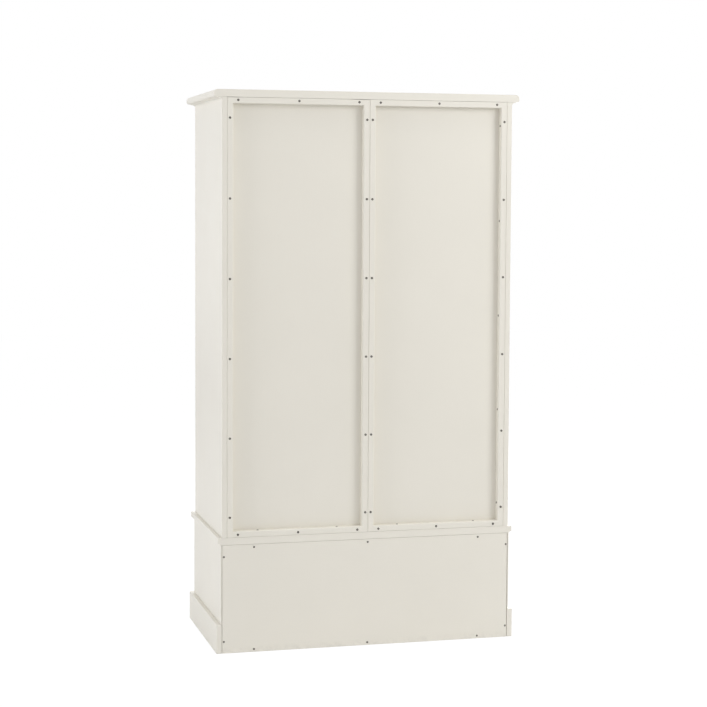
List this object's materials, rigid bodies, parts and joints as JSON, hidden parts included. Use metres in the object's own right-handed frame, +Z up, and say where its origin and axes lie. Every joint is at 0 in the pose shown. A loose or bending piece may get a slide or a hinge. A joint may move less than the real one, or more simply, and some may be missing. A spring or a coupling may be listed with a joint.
{
  "type": "armoire",
  "caption": "Painted armoire: upper cupboard with framed doors, hat shelf and hanging rail, on a base with drawers under a moulded waist board.",
  "frame": {"origin": "on the floor, under the middle of the overall box", "axes": "+Z up; the doors and drawers face -Y and the back faces +Y; +X is to the right as seen from the front"},
  "size_m": [1.1, 0.569, 1.95],
  "materials": {
    "paint": "satin cream paint on board",
    "inner_paint": "thin cream paint on board",
    "knob_paint": "satin cream paint on turned wood",
    "drawer_wood": "clear lacquer on pine",
    "hinge_steel": "satin nickel plate",
    "rail_steel": "polished"
  },
  "bodies": {
    "carcass": {"back_frame_left": "paint", "back_frame_right": "paint", "back_panel_left": "paint", "back_panel_right": "paint", "base_back_panel": "paint", "base_bottom_panel": "inner_paint", "base_divider": "paint", "base_rear_rail": "inner_paint", "base_side_left": "paint", "base_side_right": "paint", "cornice_board": "paint", "cornice_cove": "paint", "face_stile_left": "paint", "face_stile_right": "paint", "face_top_rail": "paint", "hanging_rail": "rail_steel", "hat_shelf": "inner_paint", "left_lower_hinge_frame_leaf": "hinge_steel", "left_upper_hinge_frame_leaf": "hinge_steel", "plinth": "paint", "rail_socket_left": "rail_steel", "rail_socket_right": "rail_steel", "rear_cleat_left": "inner_paint", "rear_cleat_right": "inner_paint", "rear_mullion": "inner_paint", "right_lower_hinge_frame_leaf": "hinge_steel", "right_upper_hinge_frame_leaf": "hinge_steel", "upper_bottom_panel": "inner_paint", "upper_side_left": "paint", "upper_side_right": "paint", "upper_top_panel": "inner_paint", "waist_board": "paint"},
    "left_door": {"left_door_bottom_rail": "paint", "left_door_hinge_stile": "paint", "left_door_knob": "knob_paint", "left_door_lock_stile": "paint", "left_door_panel": "paint", "left_door_top_rail": "paint", "left_lower_hinge_door_leaf": "hinge_steel", "left_upper_hinge_door_leaf": "hinge_steel"},
    "right_door": {"right_door_bottom_rail": "paint", "right_door_hinge_stile": "paint", "right_door_knob": "knob_paint", "right_door_lock_stile": "paint", "right_door_panel": "paint", "right_door_top_rail": "paint", "right_lower_hinge_door_leaf": "hinge_steel", "right_upper_hinge_door_leaf": "hinge_steel"},
    "left_drawer": {"left_drawer_back": "drawer_wood", "left_drawer_bottom": "drawer_wood", "left_drawer_front": "paint", "left_drawer_inner_side": "drawer_wood", "left_drawer_knob": "knob_paint", "left_drawer_outer_side": "drawer_wood"},
    "right_drawer": {"right_drawer_back": "drawer_wood", "right_drawer_bottom": "drawer_wood", "right_drawer_front": "paint", "right_drawer_inner_side": "drawer_wood", "right_drawer_knob": "knob_paint", "right_drawer_outer_side": "drawer_wood"}
  },
  "joints": [
    {"name": "left_door_hinge", "type": "hinge", "parent": "carcass", "child": "left_door", "pos_m": [-0.4765, -0.2615, 1.1395], "axis": [0, 0, -1], "range_deg": [0, 110]},
    {"name": "right_door_hinge", "type": "hinge", "parent": "carcass", "child": "right_door", "pos_m": [0.4765, -0.2615, 1.1395], "axis": [0, 0, 1], "range_deg": [0, 110]},
    {"name": "left_drawer_slide", "type": "slide", "parent": "carcass", "child": "left_drawer", "axis": [0, -1, 0], "range_m": [0, 0.36]},
    {"name": "right_drawer_slide", "type": "slide", "parent": "carcass", "child": "right_drawer", "axis": [0, -1, 0], "range_m": [0, 0.36]}
  ]
}
